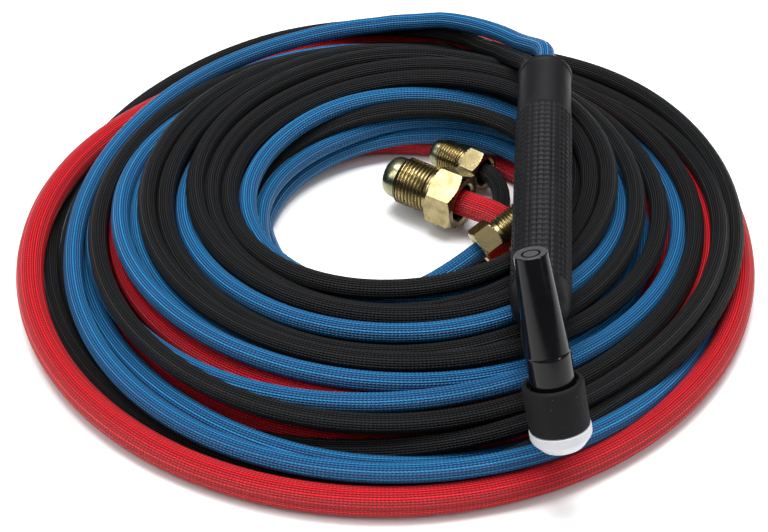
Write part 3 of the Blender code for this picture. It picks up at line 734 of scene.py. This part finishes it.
def silicone(name):
    """Matte black silicone rubber, slightly uneven, with a few pale specks of dust."""
    material, tree, shader = start_material(name, Specular_IOR_Level=0.12)
    place = own_place(tree)
    skin = noise(tree, place, 900.0, 5.0, 0.65)
    wave = noise(tree, place, 90.0, 3.0)
    dust = node(tree, "ShaderNodeTexVoronoi", {"Vector": place, "Scale": 330.0}).outputs["Distance"]
    rubber = mixed(tree, wave, (0.006, 0.006, 0.006, 1), (0.012, 0.012, 0.013, 1))
    speck = ranged(tree, dust, 0.075, 0.03, 0.0, 0.55)
    link(tree, shader, Base_Color=mixed(tree, speck, rubber, (0.20, 0.20, 0.20, 1)))
    link(tree, shader, Roughness=ranged(tree, skin, 0.3, 0.7, 0.58, 0.78))
    bump(tree, shader, maths(tree, "ADD", maths(tree, "MULTIPLY", wave, 2.0), skin), 0.0001, 0.6)
    return material


def moulded(name):
    """Satin black moulded plastic, with a fine spark-eroded grain that is rubbed smoother in places."""
    material, tree, shader = start_material(name, Specular_IOR_Level=0.15)
    place = own_place(tree)
    grain = noise(tree, place, 1900.0, 4.0, 0.6)
    rubbed = noise(tree, place, 38.0, 3.0)
    link(tree, shader, Base_Color=mixed(tree, rubbed, (0.004, 0.004, 0.005, 1), (0.009, 0.009, 0.010, 1)))
    dullness = ranged(tree, rubbed, 0.3, 0.7, 0.40, 0.52)
    link(tree, shader, Roughness=maths(tree, "ADD", dullness, maths(tree, "MULTIPLY", grain, 0.08)))
    bump(tree, shader, grain, 0.00006, 0.6)
    return material


def ptfe(name):
    """White PTFE: waxy, with faint turning rings and a little light through its edges."""
    material, tree, shader = start_material(
        name, Subsurface_Weight=0.25, Subsurface_Scale=0.002, Specular_IOR_Level=0.4,
    )
    place = own_place(tree)
    cloud = noise(tree, place, 160.0, 4.0)
    fine = noise(tree, place, 1500.0, 3.0)
    link(tree, shader, Base_Color=mixed(tree, cloud, (0.56, 0.58, 0.61, 1), (0.65, 0.66, 0.68, 1)))
    link(tree, shader, Roughness=ranged(tree, cloud, 0.3, 0.7, 0.34, 0.46))
    bump(tree, shader, fine, 0.00005, 0.5)
    return material


def drawn_metal(name, light, dark, low, high):
    """Drawn or crimped metal tube: brighter and duller patches and fine marks."""
    material, tree, shader = start_material(name, Metallic=1.0)
    place = own_place(tree)
    patches = noise(tree, place, 150.0, 5.0)
    marks = noise(tree, place, 1200.0, 3.0)
    link(tree, shader, Base_Color=mixed(tree, patches, (*light, 1), (*dark, 1)))
    link(tree, shader, Roughness=ranged(tree, patches, 0.3, 0.7, low, high))
    bump(tree, shader, marks, 0.00005, 0.5)
    return material


def floor_finish(name):
    material, tree, shader = start_material(name, Specular_IOR_Level=0.15)
    cloud = noise(tree, own_place(tree), 9.0, 3.0)
    link(tree, shader, Base_Color=mixed(tree, cloud, (0.93, 0.93, 0.93, 1), (0.95, 0.95, 0.95, 1)))
    link(tree, shader, Roughness=ranged(tree, cloud, 0.3, 0.7, 0.65, 0.75))
    return material


# ---------------------------------------- the pieces


def finished(piece, finish, slot, body, *nodes):
    """Gives a piece its material and its body, and hides the CAD nodes that it stands for. Its slot is not
    used.
    """
    piece.data.materials.clear()
    piece.data.materials.append(finish)
    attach(piece, body)
    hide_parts(*nodes)
    return piece


# The grip's pads: how many stand round the handle, how far apart they are along it, how far from its front
# end they start, how many rows there are, and how high they stand.
GRIP_COLUMNS = 24
GRIP_PITCH = 0.0031
GRIP_START = 0.0135
GRIP_ROWS = 35
GRIP_DEPTH = 0.00045
# The groove beside a pad and the pad's sloping edge, as shares of a pad.
GROOVE, SLOPE = 0.06, 0.14


def make_handle(finish):
    """The handle: a sleeve with rows of small pads moulded round most of it, a plain rear part with a thin
    lip, and a rounded front end that closes round the neck."""
    radius, length, bore, mouth, slack = HANDLE_RADIUS, HANDLE_LENGTH, 0.0114, 0.0079, 1e-6
    grip_end = GRIP_START + GRIP_PITCH * GRIP_ROWS
    rear = rounded([
        (bore + 0.0003, length), (radius - 0.0001, length), (radius - 0.0001, length - 0.0022),
        (radius - 0.0005, length - 0.0027), (radius - 0.0004, grip_end + 0.0010),
    ], 0.0003)
    steps = 8
    grip = [(radius, grip_end - GRIP_PITCH * i / steps) for i in range(GRIP_ROWS * steps + 1)]
    front = rounded([
        (radius, GRIP_START - 0.0006), (radius - 0.0008, 0.0040), (radius - 0.0022, 0.0010),
        (radius - 0.0034, 0.0), (mouth, 0.0), (mouth, 0.0080), (bore, 0.0130), (bore, length - 0.0004),
    ], 0.0005)

    def pads(row, radii, heights, angles):
        if not GRIP_START - slack <= heights[0] <= grip_end + slack or radii[0] < radius - slack:
            return radii, heights
        down = (heights - GRIP_START) / GRIP_PITCH % 1
        around = angles / (2 * math.pi) * GRIP_COLUMNS % 1
        inside = np.minimum(0.5 - abs(down - 0.5), 0.5 - abs(around - 0.5))
        raised = np.clip((inside - GROOVE) / SLOPE, 0, 1)
        raised = raised * raised * (3 - 2 * raised)
        return radii - GRIP_DEPTH * (1 - raised), heights

    profile = rear + grip + front
    piece = lathe("torch_handle", profile, HANDLE_FRONT, HANDLE_AXIS, GRIP_COLUMNS * steps, pads, sharp=60)
    return finished(piece, finish, "handle", "torch", "handle")


def make_back_cap(finish, tip_finish):
    """The long back cap, with a shallow ring moulded in its dull end."""
    tip, foot, step = 0.079, 0.0252, 0.0390
    tip_radius, body_radius, foot_radius = 0.0065, 0.0084, 0.0087
    ring_floor = tip - 0.0007
    face = [
        (0.0, tip - 0.0003), (0.0028, tip - 0.0003), (0.0029, ring_floor), (0.0036, ring_floor),
        (0.0037, tip - 0.0003), (0.0042, tip - 0.0002), (0.0046, tip),
    ]
    outside = rounded([
        (0.0050, tip), (tip_radius - 0.0002, tip), (body_radius, step + 0.0006),
        (body_radius + 0.0001, step + 0.0002), (foot_radius, step - 0.0002), (foot_radius, foot + 0.0004),
        (foot_radius - 0.0005, foot), (0.0058, foot), (0.0058, 0.0243), (0.0042, 0.0243), (0.0042, 0.0214),
        (0.0045, 0.0214), (0.0045, 0.0165), (0.0026, 0.0165), (0.0026, 0.0700), (0.0, 0.0712),
    ], 0.0005)
    piece = lathe("torch_back_cap", face + outside, HEAD_FOOT, HEAD_AXIS, up=HANDLE_AXIS, sharp=50)
    finished(piece, finish, "cap", "back_cap", "back_cap")
    piece.data.materials.append(tip_finish)
    for polygon in piece.data.polygons:
        centre = np.array(polygon.center) - HEAD_FOOT
        height, distance = centre @ HEAD_AXIS, np.linalg.norm(np.cross(centre, HEAD_AXIS))
        in_ring = distance < 0.0042 and height < tip - 0.00045
        if height > tip - 0.0012 and distance < tip_radius - 0.0005 and not in_ring:
            polygon.material_index = 1
    return piece


def neck_route():
    """The neck's line from the head to inside the handle."""
    root = HEAD_FOOT + HEAD_AXIS * NECK_HEIGHT
    to_handle = HANDLE_FRONT - root
    across = unit(to_handle - HEAD_AXIS * (to_handle @ HEAD_AXIS))
    angle = math.radians(NECK_LEAN)
    direction = across * math.sin(angle) + HEAD_AXIS * math.cos(angle)
    places = [root + direction * height for height in (0.0050, 0.0090, 0.0120, 0.0150)]
    return places + [HANDLE_FRONT + HANDLE_AXIS * height for height in (-0.012, 0.0, 0.012, 0.024)]


def make_head_insulation(finish):
    """The silicone moulding: the collar with its recess for the back cap, and the hollow neck."""
    top, foot, radius = 0.027, 0.0083, 0.0117
    recess, recess_floor, room = 0.0094, 0.0248, 0.0087
    neck_radius, passage_radius, passage_end, spacing = 0.0074, 0.0063, 0.027, 0.0015
    outside = [
        (0.0, top), (radius - 0.0007, top), (radius, top - 0.0012), (radius, foot + 0.0004),
        (radius - 0.0003, foot), (0.0, foot),
    ]
    piece = lathe("torch_head", rounded(outside, 0.0006), HEAD_FOOT, HEAD_AXIS)
    neck = tube_mesh("neck", spline(neck_route(), spacing), neck_radius, segments=48)
    combined(piece, neck, "UNION")
    inside = [
        (0.0, top + 0.005), (recess + 0.0006, top + 0.005), (recess + 0.0006, top), (recess, top - 0.0008),
        (recess, recess_floor), (room, recess_floor), (room, foot - 0.001), (0.0, foot - 0.001),
    ]
    combined(piece, lathe("head_room", inside, HEAD_FOOT, HEAD_AXIS), "DIFFERENCE")
    line = spline(neck_route() + [HANDLE_FRONT + HANDLE_AXIS * passage_end], spacing)
    passage = tube_mesh("neck_passage", line, passage_radius, segments=48)
    combined(piece, passage, "DIFFERENCE")
    piece.data.shade_smooth()
    piece.data.set_sharp_from_angle(angle=math.radians(38))
    return finished(piece, finish, "silicone", "torch", "head_insulation")


def make_cup_gasket(finish):
    height, face, mouth, nest = 0.008, 0.0083, 0.0056, 0.0087
    profile = [
        (nest, height), (0.0119, height), (0.0119, 0.0046), (0.0114, 0.0036), (face + 0.0003, 0.0001),
        (face, 0.0), (mouth, 0.0), (mouth, 0.0030), (nest, 0.0030), (nest, height - 0.0005),
    ]
    piece = lathe("torch_cup_gasket", rounded(profile, 0.0005), HEAD_FOOT, HEAD_AXIS, columns=120)
    return finished(piece, finish, "ptfe", "torch", "cup_gasket")


# Each fitting's sizes: the nut, from its rear face to its nose end, and the nipple in it.
NUTS = {
    "power": {
        "thread": 0.0111, "flats": 0.0254, "hex": 0.014, "nut": 0.032, "rear_bore": 0.0084,
        "front_bore": 0.0059, "pitch": 0.00181, "nose": 0.0099, "length": 0.040, "stem": 0.0055,
        "passage": 0.0026,
    },
    "small": {
        "thread": 0.0079, "flats": 0.0180, "hex": 0.010, "nut": 0.0245, "rear_bore": 0.0060,
        "front_bore": 0.0040, "pitch": 0.00141, "nose": 0.0067, "length": 0.030, "stem": 0.0036,
        "passage": 0.0016,
    },
}
# A thread's depth, in pitches.
THREAD_DEPTH = 0.6


def make_nut(hose, finish):
    """A male nut: a hexagon with chamfered corners, and a cut thread that runs out at both ends."""
    size = NUTS["power" if hose == "power" else "small"]
    end, root, major, half = size["nut"], size["hex"], size["thread"], size["flats"] / 2
    minor = major - THREAD_DEPTH * size["pitch"]
    steps = 8
    chamfer_end = end - (major - minor)
    front = rounded([(size["front_bore"] + 0.0003, end), (minor, end), (major, chamfer_end)], 0.0002)
    thread_top, thread_foot = chamfer_end - 0.0002, root + 0.0016
    count = int((thread_top - thread_foot) / size["pitch"] * steps)
    thread = [(major, thread_top - (thread_top - thread_foot) * i / count) for i in range(count + 1)]
    neck = rounded([(minor, root + 0.0012), (minor, root), (half - 0.0004, root)], 0.0002)
    eases = [0.0, 0.0002, 0.0004, 0.0007, 0.0011, 0.0015, 0.0019]
    hexagon = [(half, root - ease) for ease in eases] + [(half, root * share) for share in (0.7, 0.5, 0.3)]
    hexagon += [(half, ease) for ease in reversed(eases)]
    rear, floor = size["rear_bore"], end - 0.0115
    bore = rounded([
        (rear + 0.0011, 0.0), (rear, 0.0010), (rear, floor), (size["front_bore"], floor),
        (size["front_bore"], end - 0.0003),
    ], 0.0003)
    first_thread, first_hex = len(front), len(front) + len(thread) + len(neck)
    last_hex = first_hex + len(hexagon)

    def cut(row, radii, heights, angles):
        if first_thread <= row < first_thread + len(thread):
            phase = (heights / size["pitch"] - angles / (2 * math.pi)) % 1
            crest = np.clip((1 - abs(2 * phase - 1)) * 1.6 - 0.25, 0, 1)
            fade = np.clip((heights - thread_foot) / size["pitch"], 0, 1)
            radii = minor + (major - minor) * np.maximum(crest, 0) * fade
        if first_hex <= row < last_hex:
            flat = (angles + math.pi / 6) % (math.pi / 3) - math.pi / 6
            from_face = min(heights[0], root - heights[0])
            radii = np.minimum(half / np.cos(flat), half - 0.0003 + from_face * 1.7)
        return radii, heights

    fitting = FITTINGS[hose]
    foot = COIL_CENTRE + fitting["rear"]
    profile = front + thread + neck + hexagon + bore
    piece = lathe(f"{hose}_fitting_nut", profile, foot, fitting["axis"], columns=144, shape=cut, sharp=24)
    return finished(piece, finish, "brass", f"{hose}_nut", f"{hose}_nut")


def make_nipple(hose, finish):
    """The nipple: a domed nose, a stem inside the nut and a passage right through."""
    size = NUTS["power" if hose == "power" else "small"]
    front, tip, nose, passage = size["nut"] + 0.0003, size["length"], size["nose"], size["passage"]
    shoulder, tail_end = size["nut"] - 0.0112, FITTINGS[hose]["hose_end"] + 0.0008
    bends, inner, shoulder_height = 16, passage + 0.0020, front + 0.0014
    dome = []
    for i in range(bends + 1):
        turn = math.pi / 2 * i / bends
        radius = inner + (nose - inner) * math.sin(turn) ** 0.75
        dome.append((radius, shoulder_height + (tip - shoulder_height) * math.cos(turn) ** 0.9))
    inside = [
        (nose, front), (size["stem"], front), (size["stem"], shoulder), (passage + 0.0009, shoulder),
        (passage + 0.0009, tail_end), (passage, tail_end), (passage, tip - 0.0006), (passage + 0.0004, tip),
    ]
    fitting = FITTINGS[hose]
    profile = dome + rounded(inside, 0.0002)
    piece = lathe(f"{hose}_fitting_nipple", profile, COIL_CENTRE + fitting["rear"], fitting["axis"])
    return finished(piece, finish, "brass", "torch", f"{hose}_nipple")


def make_hoses():
    """The three hoses, laid so that they end in their fittings."""
    slots = {"power": "red_braid", "gas": "black_braid", "water": "blue_braid"}
    finishes = {
        "power": braid("red_braid", (0.98, 0.010, 0.026), (0.22, 0.001, 0.004), HOSE_RADIUS["power"], 0.28),
        "gas": braid("black_braid", (0.026, 0.027, 0.030), (0.001, 0.001, 0.001), HOSE_RADIUS["gas"], 0.12),
        "water": braid("blue_braid", (0.016, 0.28, 0.60), (0.001, 0.026, 0.095), HOSE_RADIUS["water"], 0.28),
    }
    lines = hose_lines()
    for hose in HOSES:
        path = lines[hose]
        piece = tube_mesh(f"{hose}_hose", path, HOSE_RADIUS[hose])
        solids = (f"{hose}_hose_lead", f"{hose}_hose_tail", "hose_coil")
        finished(piece, finishes[hose], slots[hose], "torch", *solids)


def finish_cad_nodes(bare_brass, copper, steel, rubber):
    """Gives the CAD nodes that stay in view their materials."""
    finishes = {
        "head_body": bare_brass, "back_cap_o_ring": rubber, "power_tube": copper, "gas_tube": copper,
        "water_tube": copper, "power_tube_ferrule": steel, "gas_tube_ferrule": bare_brass,
        "water_tube_ferrule": bare_brass, "power_hose_ferrule": bare_brass, "gas_hose_ferrule": bare_brass,
        "water_hose_ferrule": bare_brass,
    }
    for name, finish in finishes.items():
        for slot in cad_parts[name].material_slots:
            slot.material = finish


# ---------------------------------------- camera and studio


CAMERA_PLACE = (-0.064, -0.502, 0.4856)
CAMERA_TILT = 50.6
CAMERA_LENS = 79.08
LAMPS_AIM = (-0.05, 0.08, 0.02)


def make_camera():
    data = bpy.data.cameras.new("camera")
    data.lens = CAMERA_LENS
    data.sensor_width = 36
    data.dof.use_dof = False
    camera = bpy.data.objects.new("camera", data)
    camera.location = CAMERA_PLACE
    camera.rotation_euler = (math.radians(CAMERA_TILT), 0, 0)
    bpy.context.scene.collection.objects.link(camera)
    bpy.context.scene.camera = camera


def softbox(name, place, size, height, energy):
    """A rectangular lamp that shines at the coil."""
    data = bpy.data.lights.new(name, "AREA")
    data.shape = "RECTANGLE"
    data.size = size
    data.size_y = height
    data.energy = energy
    lamp = bpy.data.objects.new(name, data)
    lamp.location = place
    towards = Vector(LAMPS_AIM) - Vector(place)
    lamp.rotation_euler = towards.to_track_quat("-Z", "Y").to_euler()
    bpy.context.scene.collection.objects.link(lamp)


def make_studio():
    bpy.ops.mesh.primitive_plane_add(size=8)
    floor = bpy.context.object
    floor.name = "floor"
    floor.data.materials.append(floor_finish("floor"))
    world = bpy.data.worlds.new("studio")
    world.use_nodes = True
    tree = world.node_tree
    direction = node(tree, "ShaderNodeTexCoord", {}).outputs["Generated"]
    height = node(tree, "ShaderNodeSeparateXYZ", {0: direction}).outputs[2]
    seen = node(tree, "ShaderNodeLightPath", {}).outputs["Is Camera Ray"]
    glow = maths(tree, "MAXIMUM", ranged(tree, height, 0.25, 0.95, 0.10, 0.46), seen)
    tree.links.new(glow, tree.nodes["Background"].inputs["Strength"])
    tree.nodes["Background"].inputs["Color"].default_value = (0.95, 0.96, 0.98, 1)
    bpy.context.scene.world = world
    bpy.context.scene.view_settings.view_transform = "Standard"
    softbox("top", (-0.12, 0.36, 1.5), 1.2, 0.9, 37)
    softbox("left", (-1.1, -0.3, 1.0), 0.30, 1.1, 7)
    softbox("right", (0.9, -0.6, 0.9), 0.22, 1.1, 5)


nut_brass = brass("nut_brass", (0.31, 0.25, 0.125), (0.18, 0.145, 0.072), (0.08, 0.06, 0.03))
nose_brass = brass("nose_brass", (0.27, 0.26, 0.155), (0.15, 0.155, 0.095), (0.08, 0.075, 0.045))
make_camera()
fittings = {hose: [make_nut(hose, nut_brass), make_nipple(hose, nose_brass)] for hose in HOSES}
make_handle(moulded("handle_plastic"))
make_back_cap(phenolic("cap_phenolic"), dull_tip("cap_tip"))
make_head_insulation(silicone("head_silicone"))
make_cup_gasket(ptfe("gasket_ptfe"))
make_hoses()
finish_cad_nodes(
    nut_brass,
    drawn_metal("copper", (0.78, 0.40, 0.24), (0.50, 0.22, 0.12), 0.25, 0.45),
    drawn_metal("crimped_steel", (0.62, 0.61, 0.60), (0.42, 0.42, 0.42), 0.28, 0.45),
    silicone("o_ring_rubber"),
)
make_studio()
